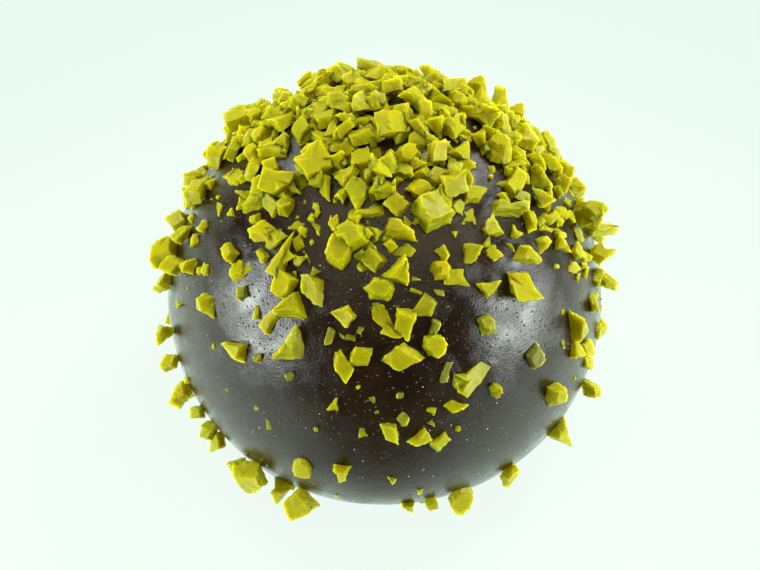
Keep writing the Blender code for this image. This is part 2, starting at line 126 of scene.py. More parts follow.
# Patches of the cap and the shoulders that stayed bare: degrees around, mm down, radius in mm,
# and how far a chip may reach into one as a share of its size
BARE_PATCHES = (
    (-76, 5.8, 0.9), (-47, 6.9, 0.6), (-50, 8.6, 0.5), (-33, 6.3, 0.4), (-28, 8.0, 0.5), (-3, 6.4, 0.5),
    (13, 5.8, 0.4), (20, 7.7, 0.8), (34, 7.6, 0.8), (41, 8.2, 0.8), (53, 9.8, 0.5), (55, 7.7, 0.4),
    (67, 7.0, 0.8), (80, 6.0, 0.6), (-81, 11.2, 0.5), (-72, 12.9, 1.1), (-70, 14.4, 0.6),
    (-86, 14.2, 0.7), (-69, 17.6, 0.9), (77, 14.5, 0.6), (84, 16.3, 0.5), (22, 1.5, 0.3),
    (23, 3.6, 0.3),
    (-63, 11.2, 0.9), (14, 8.6, 0.7), (-89, 12.7, 0.9), (-80, 11.3, 0.7), (-102, 14.7, 0.6),
)
PATCH_OVERLAP = 0.1

# How unevenly a chip breaks: twist of its corners, slope, shift of its top, where edges are sliced off,
# and how far in a notched chip's deepest corner lies
CORNER_TWIST = 1.2
SLOPE_RANGE = (0.4, 1.4)
STEEPEST_SHARE = 0.8
TOP_SHIFT = 0.16
SLICE_RISE = (0.2, 1.2)
SLICE_DEPTH = (0.30, 0.42)
NOTCH = (0.20, 0.55)

# kind: corners, thickness as a share of width, width and length of the top, slope in degrees,
# unevenness of the outline, sliced edges, whether it is notched
KINDS = {
    "block": (4, 0.66, 0.94, 0.94, 8, 0.08, 2, False),
    "slab": (4, 0.46, 0.90, 0.94, 16, 0.20, 2, False),
    "shard": (5, 0.38, 0.92, 0.90, 16, 0.22, 0, True),
    "wedge": (3, 0.55, 0.62, 0.74, 22, 0.16, 0, False),
    "splinter": (3, 0.42, 0.90, 0.94, 14, 0.26, 0, False),
    "ridge": (4, 0.55, 0.16, 0.72, 10, 0.20, 0, False),
    "kite": (4, 0.46, 0.50, 0.46, 14, 0.26, 0, False),
    "flake": (5, 0.22, 0.92, 0.92, 12, 0.26, 0, True),
    "lump": (6, 0.72, 0.66, 0.70, 12, 0.12, 1, False),
    "disc": (8, 0.36, 0.84, 0.84, 8, 0.06, 1, False),
    "rod": (4, 0.78, 0.70, 0.88, 8, 0.12, 0, False),
}
DRAWN_KINDS = ("shard", "wedge", "slab", "kite", "splinter", "shard", "ridge", "wedge", "slab", "flake",
               "splinter", "lump", "block")

# Chips that stand out: degrees around, mm down, length mm, width mm, turn in degrees, kind.
# A turn of 0 points the chip's tip down the coat, and 90 points it to the right.
PLACED_CHIPS = (
    # Around the cap
    (25, 6.4, 1.9, 1.8, 5, "block"), (8, 7.1, 2.2, 1.5, 58, "wedge"), (9, 5.2, 1.7, 1.6, 4, "slab"),
    (-4, 7.2, 1.1, 1.0, 0, "wedge"), (-4, 8.5, 1.6, 1.4, 10, "slab"), (-15, 7.3, 2.4, 1.8, 70, "lump"),
    (-18, 8.5, 2.4, 1.9, 20, "slab"), (-8, 5.9, 1.7, 0.9, -60, "wedge"),
    (-18, 4.9, 2.3, 1.6, 20, "slab"), (-25, 2.8, 2.0, 1.6, -10, "slab"),
    (18, 3.2, 1.8, 1.2, 20, "slab"),
    (-60, 4.7, 2.0, 1.9, 0, "block"), (-100, 5.3, 2.3, 1.7, 90, "slab"),
    (-90, 7.2, 2.0, 1.4, 0, "wedge"),
    (-66, 7.3, 2.1, 1.7, -50, "block"), (-54, 7.8, 1.4, 1.1, 0, "lump"),
    (-34, 7.5, 1.3, 0.6, 30, "flake"), (-38, 8.3, 0.8, 0.8, 0, "lump"),
    (60, 5.0, 1.5, 1.2, 150, "slab"),
    (42, 4.5, 1.7, 1.3, 70, "slab"), (54, 6.8, 2.0, 1.1, 70, "slab"), (44, 7.4, 1.3, 0.9, 50, "flake"),
    (60, 2.2, 1.9, 1.3, 80, "slab"), (77, 8.7, 2.0, 1.0, 80, "block"),
    # Down the front, left to right
    (-68, 9.4, 2.0, 1.3, -10, "wedge"), (-62, 9.7, 1.1, 1.0, 0, "kite"),
    (-61, 12.4, 1.5, 0.8, 90, "rod"),
    (-54, 12.9, 1.4, 1.2, 0, "disc"), (-51, 11.8, 1.5, 0.6, -15, "flake"),
    (-42, 9.8, 2.8, 1.3, 186, "wedge"), (-58, 16.2, 2.2, 1.6, 80, "kite"),
    (-48, 13.6, 1.1, 1.0, 0, "slab"), (-43, 16.9, 1.8, 1.4, -80, "wedge"),
    (-41, 12.1, 1.0, 0.7, 0, "flake"), (-37, 9.0, 0.9, 0.8, 0, "slab"),
    (-35, 13.7, 2.0, 0.7, -15, "rod"),
    (-35, 11.4, 2.3, 1.6, 50, "slab"), (-30, 9.3, 1.0, 0.8, 40, "flake"),
    (-30, 12.7, 2.1, 1.8, -40, "wedge"), (-26, 14.3, 2.3, 1.8, 180, "wedge"),
    (-24, 10.9, 2.1, 1.4, 40, "slab"), (-16, 13.3, 1.1, 0.6, 0, "rod"),
    (-13, 12.0, 1.6, 1.3, 90, "shard"),
    (-12, 14.9, 2.2, 1.2, 15, "slab"), (-13, 17.6, 1.1, 0.9, 180, "wedge"),
    (-7, 14.4, 1.7, 1.3, -50, "slab"), (-2, 11.9, 2.1, 1.1, 15, "flake"),
    (-4, 17.0, 1.0, 0.7, 90, "flake"), (-5, 19.3, 1.1, 0.7, -30, "flake"),
    (-2, 10.3, 1.9, 1.4, 90, "lump"), (6, 9.1, 1.9, 1.7, 150, "wedge"),
    (3, 12.7, 1.4, 1.1, 60, "wedge"),
    (7, 12.1, 2.0, 1.5, 20, "slab"), (13, 11.4, 1.6, 1.3, 90, "flake"), (5, 14.2, 2.7, 1.6, 90, "slab"),
    (14, 13.8, 1.6, 1.5, 0, "disc"), (15, 12.8, 1.1, 0.5, 155, "rod"), (1, 19.0, 1.7, 1.1, 55, "slab"),
    (4, 18.3, 1.1, 0.9, 0, "slab"), (8, 20.0, 1.5, 1.3, -70, "wedge"),
    (13, 20.4, 1.5, 1.1, -20, "slab"),
    (17, 18.1, 1.6, 0.9, 80, "slab"), (12, 18.9, 0.8, 0.6, 30, "wedge"),
    (16, 15.7, 1.3, 0.5, -25, "rod"),
    (24, 16.6, 2.8, 1.2, -70, "flake"), (22, 9.6, 1.4, 1.2, 20, "lump"),
    (27, 10.3, 1.6, 1.0, 70, "flake"), (36, 9.3, 1.7, 1.4, 90, "flake"),
    (44, 10.2, 1.4, 0.9, 50, "slab"),
    (50, 9.0, 1.6, 1.4, 40, "slab"), (62, 8.9, 2.5, 0.9, 40, "rod"), (67, 10.6, 1.8, 1.3, -60, "wedge"),
    (37, 11.8, 1.6, 1.3, 90, "wedge"), (31, 13.6, 1.2, 0.9, -5, "block"),
    (29, 18.0, 1.2, 0.9, 0, "lump"),
    (47, 13.1, 2.8, 2.2, 20, "slab"), (54, 11.9, 1.9, 1.3, 20, "wedge"),
    (64, 12.2, 1.5, 1.4, 20, "kite"),
    (42, 17.3, 1.3, 1.0, 5, "block"), (46, 21.0, 2.0, 1.5, 20, "lump"),
    (57, 19.9, 1.7, 1.2, 30, "slab"),
    (53, 18.3, 0.9, 0.6, -20, "wedge"), (60, 17.9, 2.4, 1.7, 175, "wedge"),
    (62, 20.8, 1.4, 1.3, 20, "slab"), (63, 22.4, 1.5, 1.1, 10, "slab"),
    (-20, 23.4, 2.0, 1.4, 5, "disc"),
    (-10, 23.3, 2.0, 1.3, -5, "wedge"),
    # Small ones between them
    (-80, 12.1, 1.0, 0.7, 60, "splinter"), (-49, 10.8, 1.0, 0.5, 80, "rod"),
    (-41, 13.9, 1.0, 0.4, 30, "rod"), (-29, 20.8, 0.7, 0.5, 0, "shard"),
    (-27, 10.1, 0.9, 0.7, -30, "wedge"),
    (-17, 19.8, 0.5, 0.5, 0, "lump"), (-13, 13.2, 0.6, 0.3, 70, "rod"), (-2, 17.8, 0.5, 0.3, 20, "rod"),
    (8, 8.0, 1.5, 0.8, 80, "flake"), (11, 10.6, 1.0, 0.5, 60, "ridge"), (18, 19.8, 0.5, 0.5, 0, "lump"),
    (19, 10.8, 0.9, 0.6, 20, "shard"), (20, 11.7, 0.6, 0.4, 90, "wedge"),
    (29, 8.9, 1.2, 0.4, 60, "flake"),
    (34, 11.9, 0.4, 0.4, 0, "lump"), (70, 15.3, 1.2, 0.8, 40, "shard"),
    (78, 13.0, 0.9, 0.9, 0, "wedge"),
    (-96, 8.8, 1.3, 1.1, 0, "lump"), (-39, 9.9, 1.2, 1.0, 20, "shard"),
    (76, 15.4, 1.4, 1.1, 20, "slab"), (9, 25.4, 0.6, 0.5, 0, "lump"),
)

# Chips that stand away from the coat at its lower edge and its sides, their tips raised
STANDING_CHIPS = (
    (-36, 27.4, 3.2, 2.7, -15, "slab"), (-41, 28.0, 2.0, 1.5, -10, "slab"),
    (-28, 28.7, 2.0, 1.6, 0, "wedge"), (-21, 28.4, 2.5, 2.2, 0, "slab"),
    (-53, 27.2, 1.9, 1.3, -30, "slab"), (-50, 28.0, 1.9, 1.4, -10, "slab"),
    (-56, 26.0, 1.5, 1.1, -20, "slab"), (-63, 26.0, 2.2, 1.5, 0, "wedge"),
    (-70, 24.8, 2.0, 1.3, 0, "slab"), (-73, 22.4, 1.9, 1.5, 10, "kite"),
    (-87, 18.8, 1.8, 1.4, 0, "block"), (-83, 20.6, 1.8, 1.3, 10, "slab"),
    (-79, 17.6, 1.9, 1.4, -20, "slab"), (-85, 16.2, 1.9, 1.3, 0, "slab"),
    (-94, 17.3, 1.9, 1.3, -30, "slab"), (-102, 15.0, 1.7, 1.1, 0, "lump"),
    (-119, 11.7, 2.3, 2.0, 0, "slab"), (90, 15.6, 2.2, 2.0, 0, "lump"),
    (94, 18.3, 2.9, 1.3, 20, "wedge"),
    (84, 18.0, 1.7, 1.3, 20, "slab"), (82, 20.2, 1.8, 1.2, -20, "slab"),
    (65, 25.8, 2.2, 1.5, 10, "kite"),
    (51, 27.1, 2.2, 1.9, 10, "wedge"), (33, 27.3, 1.9, 1.3, -30, "slab"),
    (20, 27.7, 1.9, 1.8, 0, "disc"),
    (12, 27.8, 1.3, 1.0, -30, "slab"), (7, 28.6, 1.3, 1.0, 20, "wedge"),
    (143, 11.2, 1.7, 1.5, 0, "lump"), (137, 12.0, 2.2, 1.3, 60, "wedge"),
    (129, 12.4, 1.9, 1.5, 20, "slab"),
    (124, 13.8, 1.3, 0.8, 0, "wedge"),
)

# The coat's surface: how finely its ball is cut and on which side the squares are smaller, lumps,
# waves, the rim it draws up round a chip, and how low above the foot all of these fade
COAT_CUTS = 128
FINER_SIDE = Vector((0, -0.30, 0.22))
LUMP_SPAN = 0.0022
LUMP_RISE = 0.000006
WAVE_SPAN = 0.0070
WAVE_RISE = 0.000008
RIM_REACH = 0.0008
RIM_WIDTH = 0.00028
RIM_RISE = 0.000018
RIM_PATCH = 0.0009
FOOT_FADE = 0.0010

# How ragged a chip's edges are: the steps they broke in, the most of them along an edge, how far the
# steps are knocked out of line, the slow warp of the whole, how much less it all moves through the
# thickness, and the narrow rim around what faces up. The warp's pattern starts anywhere in its reach,
# and its seed makes it the same each time.
EDGE_STEP = 0.00018
MOST_STEPS = 8
KNOCK = 0.000105
KNOCK_SHARE = 0.165
KNOCK_SPAN = 0.00007
WARP_SPAN = 0.0006
WARP_RISE = 0.00012
WARP_SEED = 7
WARP_REACH = 100
ACROSS = 0.25
UPPER = 0.4
RIM_SHARE = 0.05
DOME_RISE = (-0.02, 0.03)

# The shells that broke out of a chip's sides and how much it is curled, as shares of its width
HOLLOWS = (1, 2, 3)
HOLLOW_LIFT = (0.0, 1.0)
HOLLOW_RADIUS = (0.22, 0.8)
HOLLOW_DEPTH = (0.06, 0.22)
CURL = 0.55

# Short chips on the bare front are stained by the chocolate: up to what length, and their tones,
# which are below 0 where a chip is stained and at -1 where it is stained most
STAINED_LENGTH = 0.0014
STAINED_TONES = (-0.75, 0.20)

# Crumbs and dust: how many, their sizes, how they are spread where the chips are sparse, and how high
# they lie. They stay clear of the coat's lower edge.
CRUMB_COUNT = 260
CRUMB_SEED = 11
CRUMB_SIZE = (0.00018, 0.00052)
CRUMB_SPREAD = 0.22
BARE_CRUMBS = 0.12
CRUMB_LIFT = (0.00008, 0.00022)
CRUMB_KINDS = ("kite", "lump", "wedge", "slab")
CLEAR_EDGE = 0.0012
DUST_COUNT = 600
DUST_SEED = 23
DUST_RADIUS = (0.000015, 0.000046)
DUST_UNEVEN = (0.6, 1.3)
DUST_LIFT = 0.00001

# The angles in degrees from which an edge looks sharp: on what is broken, and on the coat
SHARP_FROM = 36
SMOOTH_COAT = 60

# The fine grain of the chocolate and the sugar comes and goes in patches: their width in grains, the
# values of their pattern between which they fade, and what is left of the grain between them
PATCH_WIDTH = 14.0
PATCH_EDGE = (0.40, 0.60)
LEAST_GRAIN = 0.45

# How much detail a pattern has: the smooth ones, the clouds and the grain, and how strong the grain's is
SMOOTH_DETAIL = 1.0
CLOUD_DETAIL = 2.0
GRAIN_DETAIL = 3.0
GRAIN_STRENGTH = 0.6

# The chocolate's finish: sizes in metres, colours as linear red, green and blue
COAT_GRAIN = 0.00012
COAT_RELIEF = 0.000034
COAT_CLOUD = 0.004
COAT_CLOUD_EDGE = (0.35, 0.65)
PIT_SPACING = 0.00032
PIT_RADIUS = 0.00007
PIT_SHARE = 1.5
COAT_ROUGHNESS = (0.19, 0.27)
BEND_OF_LIGHT = 1.45
CHOCOLATE = (0.0070, 0.0022, 0.0006, 1)
CHOCOLATE_PALE = (0.0150, 0.0060, 0.0022, 1)
# The colour painted into the pits is painted shade, darker than the coat around them.
PIT_PAINTED_SHADE = (0.0040, 0.0020, 0.0010, 1)

# The sugar's finish. Each chip has a tone from 0, lime, to 1, gold, and the lowest tones turn olive.
# Pale clouds, olive shades and white specks lie over it: the width of each, the values of its pattern
# between which it fades in, and how strong it is at most.
CHIP_GRAIN = 0.00012
CHIP_RELIEF = 0.000014
PALE_CLOUD = 0.0006
PALE_EDGE = (0.30, 0.70)
PALE_MOST = 0.6
OLIVE_SHADE = 0.0011
OLIVE_EDGE = (0.55, 0.72)
OLIVE_MOST = 0.5
OLIVE_BELOW = 0.30
OLIVE_TONE = 0.7
WHITE_SPECK = 0.00013
SPECK_EDGE = (0.68, 0.80)
SPECK_MOST = 0.6
CHIP_WAVE = 0.0007
WAVE_RELIEF = 0.00007
CHIP_ROUGHNESS = (0.30, 0.50)
CHIP_SHINE = 0.13
CHIP_CLEARNESS = 0.9
CHIP_GLOW = 0.00130
GLOW_COLOURS = (1.0, 0.85, 0.12)
SUGAR_LIME = (0.286, 0.284, 0.002, 1)
SUGAR_GOLD = (0.344, 0.307, 0.001, 1)
SUGAR_PALE = (0.322, 0.300, 0.005, 1)
SUGAR_OLIVE = (0.205, 0.208, 0.002, 1)
SUGAR_STAINED = (0.085, 0.088, 0.020, 1)
SUGAR_WHITE = (0.70, 0.68, 0.25, 1)
DUST_CREAM = (0.55, 0.50, 0.30, 1)
DUST_WHITE = (0.80, 0.80, 0.72, 1)
DUST_ROUGHNESS = 0.6

# The camera: the point it looks at, how many degrees above the table it stands, how far off, its lens
# and sensor width in mm, and the nearest that it sees
LOOKED_AT = Vector((-0.00028, 0, 0.00917))
VIEW_RISE = 50
VIEW_DISTANCE = 0.090
VIEW_LENS = 61.7
SENSOR_WIDTH = 36
NEAREST_SEEN = 0.001

# The pale table and room as they are seen, and how bright they shine on the praline where white is 1.
# The table is brightest beside and behind it. It is dim in front, where the camera stands, a little
# dimmer in the praline's shade, and wanes far away. The ceiling glows softly.
TABLE_SIZE = 6.0
TABLE_COLOUR = (0.05, 0.055, 0.052, 1)
TABLE_ROUGHNESS = 0.9
TABLE_SEEN = (0.815, 0.915, 0.860, 1)
# As seen, the table is painted darker towards the back and the far sides: painted shade.
TABLE_SEEN_PAINTED_SHADE = (0.715, 0.835, 0.785, 1)
PAINTED_SHADE_EDGE = (0.010, 0.060)
PAINTED_SHADE_SPREAD = 0.4
TABLE_BRIGHT = (1.55, 1.92, 1.66, 1)
TABLE_DIM = (0.130, 0.130, 0.060, 1)
DIM_EDGE = (0.000, 0.030)
DIM_SPREAD = 1.15
NEAR_EDGE = (0.012, 0.035)
NEAR_DIM = 0.30
WANE_EDGE = (0.035, 0.100)
WANE_DIM = 0.65
ROOM_SEEN = (0.87, 0.97, 0.92, 1)
ROOM_DIM = (0.150, 0.120, 0.065, 1)
CEILING_DIM = (0.050, 0.035, 0.010, 1)
CEILING_BAND = (0.05, 0.60)
CEILING_GLOW = (1.55, 1.40, 0.95, 1)
GLOW_BAND = (0.55, 0.85)
LAMP_COLOUR = (0.90, 1.0, 0.960)
BOX_DISTANCE = 0.40
SOFT_BOXES = (
    # name, direction from the praline, width, height, brightness
    ("left box", (-0.94, -0.32, 0.15), 0.25, 0.12, 24.0),
    ("right box", (0.95, -0.29, 0.15), 0.25, 0.13, 21.0),
    ("back left box", (-0.555, 0.59, 0.58), 0.14, 0.10, 12.5),
    ("back right box", (0.53, 0.48, 0.69), 0.16, 0.16, 18.0),
)

# The sockets of a mix node that take and give colours
MIX_SHARE = 0
MIX_FIRST = 6
MIX_SECOND = 7
MIX_RESULT = 2

Chip = namedtuple("Chip", "around down length width turn kind lean roll lift")


def coat_outline(crown_rings, tuck_rings):
    """Half outline of the coat as (radius, height), from the tip down to the foot."""
    power = 2 / CROWN_POWER
    outline = [(0.0, WIDEST_HEIGHT + CROWN_RISE)]
    for ring in range(1, crown_rings + 1):
        angle = math.pi / 2 * ring / crown_rings
        radius = COAT_RADIUS * math.sin(angle) ** power
        height = WIDEST_HEIGHT + CROWN_RISE * max(math.cos(angle), 0.0) ** power
        outline.append((radius, height))
    foot_angle = math.asin((WIDEST_HEIGHT - FOOT_ROUND) / TUCK_DEPTH)
    for ring in range(1, tuck_rings + 1):
        angle = foot_angle * ring / tuck_rings
        radius = COAT_RADIUS - TUCK_WIDTH * (1 - math.cos(angle))
        outline.append((radius, WIDEST_HEIGHT - TUCK_DEPTH * math.sin(angle)))
    outline.append((outline[-1][0] - FOOT_ROUND, 0.0))
    return outline


def out_of_round(radius, angle):
    """The coat isn't a perfect round: a few soft lobes."""
    return radius * (1 + sum(depth * math.sin(waves * angle + start) for waves, depth, start in LOBES))


class CoatPlaces:
    """Turns degrees around and metres down into a point on the coat and its directions."""

    def __init__(self):
        self.outline = coat_outline(FINE_CROWN_RINGS, FINE_TUCK_RINGS)
        self.lengths = [0.0]
        for (r0, z0), (r1, z1) in zip(self.outline, self.outline[1:]):
            self.lengths.append(self.lengths[-1] + math.hypot(r1 - r0, z1 - z0))
        self.reach = self.lengths[-1]

    def at(self, around, down):
        step = min(max(bisect.bisect_left(self.lengths, down), 1), len(self.lengths) - 1)
        (r0, z0), (r1, z1) = self.outline[step - 1], self.outline[step]
        share = (down - self.lengths[step - 1]) / (self.lengths[step] - self.lengths[step - 1])
        angle = math.radians(around)
        outward = Vector((math.sin(angle), -math.cos(angle), 0))
        radius = out_of_round(r0 + (r1 - r0) * share, angle)
        point = outward * radius + Vector((0, 0, z0 + (z1 - z0) * share))
        slope = (outward * (r1 - r0) + Vector((0, 0, z1 - z0))).normalized()
        sideways = Vector((math.cos(angle), math.sin(angle), 0))
        return point, slope, slope.cross(sideways)


def cover(down):
    """How thickly the chips lie: a heap on the cap that thins out down the side."""
    return CAP_COVER * math.exp(-(down / CAP_REACH) ** 2) + SIDE_COVER


def in_bare_front(around, down):
    """Whether a place is on the nearly bare front below the cap."""
    edge = BARE_DOWN + (BARE_SIDE_DOWN - BARE_DOWN) * abs(around) / BARE_AROUND
    return abs(around) < BARE_AROUND and down > edge


def piled_on(point, size, taken):
    """How far a chip is lifted by the ones that already lie under it."""
    lift = 0.0
    for other, reach, top in taken:
        overlap = max(0.0, 1 - (point - other).length / (size + reach))
        lift = max(lift, PILING * top * overlap)
    return lift


def drawn_place(rng, places, length, size, taken, bare):
    """The roomiest of a few places, drawn more often where the chips lie thickly."""
    best_room = -1
    best = None
    tried = 0
    while tried < TRIED_PLACES:
        around = rng.uniform(-180, 180)
        down = rng.uniform(0, places.reach - length)
        point = places.at(around, down)[0]
        if rng.random() > cover(down) * math.hypot(point.x, point.y) / COAT_RADIUS:
            continue
        if in_bare_front(around, down) and (length > CRUMB_LENGTH or rng.random() > BARE_SHARE):
            continue
        if any((point - middle).length < radius + (1 - PATCH_OVERLAP) * size for middle, radius in bare):
            continue
        tried += 1
        room = min((point - other).length / (size + reach) for other, reach, top in taken)
        room *= math.sqrt(cover(down))
        if room > best_room:
            best_room = room
            best = (around, down)
    return best


def strewn_chips(places):
    """Every chip with its place, size and lean: the placed ones, then the drawn ones, largest first."""
    chips = []
    taken = []
    bare = [(places.at(around, down * MM)[0], radius * MM) for around, down, radius in BARE_PATCHES]

    def lay(around, down, length, width, turn, kind, lean, roll):
        point = places.at(around, down)[0]
        size = (length + width) / 4
        lift = piled_on(point, size, taken)
        taken.append((point, size, lift + KINDS[kind][1] * width - ROOT_DEPTH))
        chips.append(Chip(around, down, length, width, turn, kind, lean, roll, lift))

    rng = random.Random(SEED)
    for around, down, length, width, turn, kind in PLACED_CHIPS:
        lean = rng.uniform(*FLAT_FACTOR) * FLAT_LEAN
        lay(around, down * MM, length * MM, width * MM, turn, kind, lean, rng.uniform(-1, 1) * FLAT_ROLL)
    for around, down, length, width, turn, kind in STANDING_CHIPS:
        lean = rng.uniform(*STEEP_FACTOR) * STEEP_LEAN
        lay(around, down * MM, length * MM, width * MM, turn, kind, lean, rng.uniform(-1, 1) * FLAT_ROLL)
    rng = random.Random(SEED)
    drawn = STREWN_COUNT - len(chips)
    for rank in range(drawn):
        length = SHORTEST_CHIP + (LONGEST_CHIP - SHORTEST_CHIP) * (1 - rank / drawn) ** SMALL_SHARE
        width = length * rng.uniform(NARROWEST, 1)
        around, down = drawn_place(rng, places, length, (length + width) / 4, taken, bare)
        steepness = SPARSE_SHARE + (1 - SPARSE_SHARE) * cover(down)
        lean = FLAT_LEAN + STEEP_LEAN * rng.random() ** LEAN_POWER * steepness
        roll = STEEP_ROLL * rng.uniform(-1, 1) * steepness
        lay(around, down, length, width, rng.uniform(-180, 180), rng.choice(DRAWN_KINDS), lean, roll)
    return chips


def slice_edge(bm, centre, direction):
    """Breaks off what lies past a plane and closes the cut."""
    geometry = bm.verts[:] + bm.edges[:] + bm.faces[:]
    cut = bmesh.ops.bisect_plane(bm, geom=geometry, plane_co=centre, plane_no=direction, clear_outer=True)
    rim = [item for item in cut["geom_cut"] if isinstance(item, bmesh.types.BMEdge)]
    if rim:
        bmesh.ops.holes_fill(bm, edges=rim, sides=0)


def broken_outline(bm, rng, length, width, kind):
    """The chip's uneven outline as one flat face, its tip at +Y."""
    corners, unevenness, notched = KINDS[kind][0], KINDS[kind][5], KINDS[kind][7]
    bmesh.ops.create_circle(bm, cap_ends=True, radius=0.5, segments=corners)
    if kind in ("block", "rod", "ridge"):
        bmesh.ops.rotate(bm, verts=bm.verts[:], matrix=Matrix.Rotation(math.pi / 4, 3, "Z"))
    for vert in bm.verts:
        shifted = Matrix.Rotation(rng.uniform(-CORNER_TWIST, CORNER_TWIST) * unevenness, 3, "Z") @ vert.co
        vert.co = shifted * rng.uniform(1 - unevenness, 1 + unevenness)
    if notched:
        deepest = rng.choice(bm.verts[:])
        deepest.co *= rng.uniform(*NOTCH)
    across = [vert.co.x for vert in bm.verts]
    along = [vert.co.y for vert in bm.verts]
    middle = Vector(((max(across) + min(across)) / 2, (max(along) + min(along)) / 2, 0))
    bmesh.ops.translate(bm, verts=bm.verts[:], vec=-middle)
    stretch = (width / (max(across) - min(across)), length / (max(along) - min(along)), 1)
    bmesh.ops.scale(bm, verts=bm.verts[:], vec=stretch)


def broken_chip(rng, length, width, kind):
    """One broken chip lying flat, its underside at z = 0."""
    corners, thickness, top_width, top_length, slope, unevenness, slices, notched = KINDS[kind]
    height = thickness * width
    bm = bmesh.new()
    broken_outline(bm, rng, length, width, kind)
    lifted = bmesh.ops.extrude_face_region(bm, geom=bm.faces[:])["geom"]
    top = [item for item in lifted if isinstance(item, bmesh.types.BMVert)]
    bmesh.ops.scale(bm, verts=top, vec=(top_width, top_length, 1))
    heading = Matrix.Rotation(rng.uniform(-math.pi, math.pi), 3, "Z")
    steepest = STEEPEST_SHARE * math.atan(height / length)
    tilt = Matrix.Rotation(min(math.radians(slope) * rng.uniform(*SLOPE_RANGE), steepest), 3, "X")
    bmesh.ops.rotate(bm, verts=top, matrix=heading @ tilt @ heading.inverted())
    aside = rng.uniform(-TOP_SHIFT, TOP_SHIFT) * width
    forward = rng.uniform(-TOP_SHIFT, TOP_SHIFT) * length
    bmesh.ops.translate(bm, verts=top, vec=(aside, forward, height))
    bmesh.ops.recalc_face_normals(bm, faces=bm.faces[:])
    middle = Vector((0, 0, height / 2))
    for cut in range(slices):
        angle = rng.uniform(-math.pi, math.pi)
        outward = Vector((math.cos(angle), math.sin(angle), rng.uniform(*SLICE_RISE))).normalized()
        slice_edge(bm, middle + outward * rng.uniform(*SLICE_DEPTH) * (width + height), outward)
    return bm


def lay_on_coat(bm, places, chip):
    """Rolls a chip, raises its tip, turns it and roots its lowest corner, clear of the floor."""
    point, slope, normal = places.at(chip.around, chip.down)
    tip = Matrix.Rotation(math.radians(chip.turn), 3, normal) @ slope
    frame = Matrix((tip.cross(normal), tip, normal)).transposed()
    raised = Matrix.Rotation(math.radians(chip.lean), 3, "X")
    rolled = Matrix.Rotation(math.radians(chip.roll), 3, "Y")
    bmesh.ops.rotate(bm, verts=bm.verts[:], matrix=raised @ rolled)
    rooted = chip.lift - ROOT_DEPTH - min(vert.co.z for vert in bm.verts)
    for vert in bm.verts:
        vert.co = point + frame @ (vert.co + Vector((0, 0, rooted)))
    lowest = min(vert.co.z for vert in bm.verts)
    bmesh.ops.translate(bm, verts=bm.verts[:], vec=(0, 0, max(0, FLOOR_GAP - lowest)))


def coat_grid():
    """A ball of nearly even squares, to be laid over the coat's shape."""
    bm = bmesh.new()
    bmesh.ops.create_cube(bm, size=2)
    bmesh.ops.subdivide_edges(bm, edges=bm.edges[:], cuts=COAT_CUTS, use_grid_fill=True)
    for vert in bm.verts:
        even = Vector([math.tan(along * math.pi / 4) for along in vert.co]).normalized()
        vert.co = (even + FINER_SIDE).normalized()
    return bm


def coat_place(places, direction):
    """The point that a direction from the ball's middle lands on, and the way out of the coat there."""
    azimuth = math.atan2(direction.x, -direction.y)
    foot_radius = places.outline[-1][0]
    share = math.acos(max(-1.0, min(1.0, direction.z))) / math.pi
    down = share * (places.reach + foot_radius)
    if down < places.reach:
        point, slope, normal = places.at(math.degrees(azimuth), down)
        return point, normal
    radius = out_of_round(places.reach + foot_radius - down, azimuth)
    return Vector((math.sin(azimuth), -math.cos(azimuth), 0)) * radius, None


def coat_surface(places, chips):
    """The coat, with the low lumps it set with, drawn up a little around the foot of each chip."""
    bm = coat_grid()
    chip_faces = BVHTree.FromBMesh(chips)
    for vert in bm.verts:
        point, normal = coat_place(places, vert.co)
        vert.co = point
        if normal is None:
            continue
        rise = LUMP_RISE * point.z / COAT_RADIUS * noise.noise(point / LUMP_SPAN)
        rise += WAVE_RISE * noise.noise(point / WAVE_SPAN)
        gap = chip_faces.find_nearest(point, RIM_REACH)[3]
        if gap is not None:
            wetness = RIM_RISE * (1 + noise.noise(point / RIM_PATCH))
            rise += wetness * math.exp(-(gap / RIM_WIDTH) ** 2)
        vert.co = point + normal * rise * min(1.0, point.z / FOOT_FADE)
    bmesh.ops.recalc_face_normals(bm, faces=bm.faces[:])
    return bm


def hollow_out(bm, rng, length, width):
    """Takes a shell out of a chip's side: what lies inside a ball is pushed back onto it."""
    angle = rng.uniform(-math.pi, math.pi)
    height = rng.uniform(*HOLLOW_LIFT) * width
    side = Vector((math.cos(angle) * width / 2, math.sin(angle) * length / 2, height))
    radius = rng.uniform(*HOLLOW_RADIUS) * width
    centre = side.normalized() * (side.length + radius - rng.uniform(*HOLLOW_DEPTH) * width)
    for vert in bm.verts:
        away = vert.co - centre
        if away.length < radius:
            vert.co = centre + away.normalized() * radius


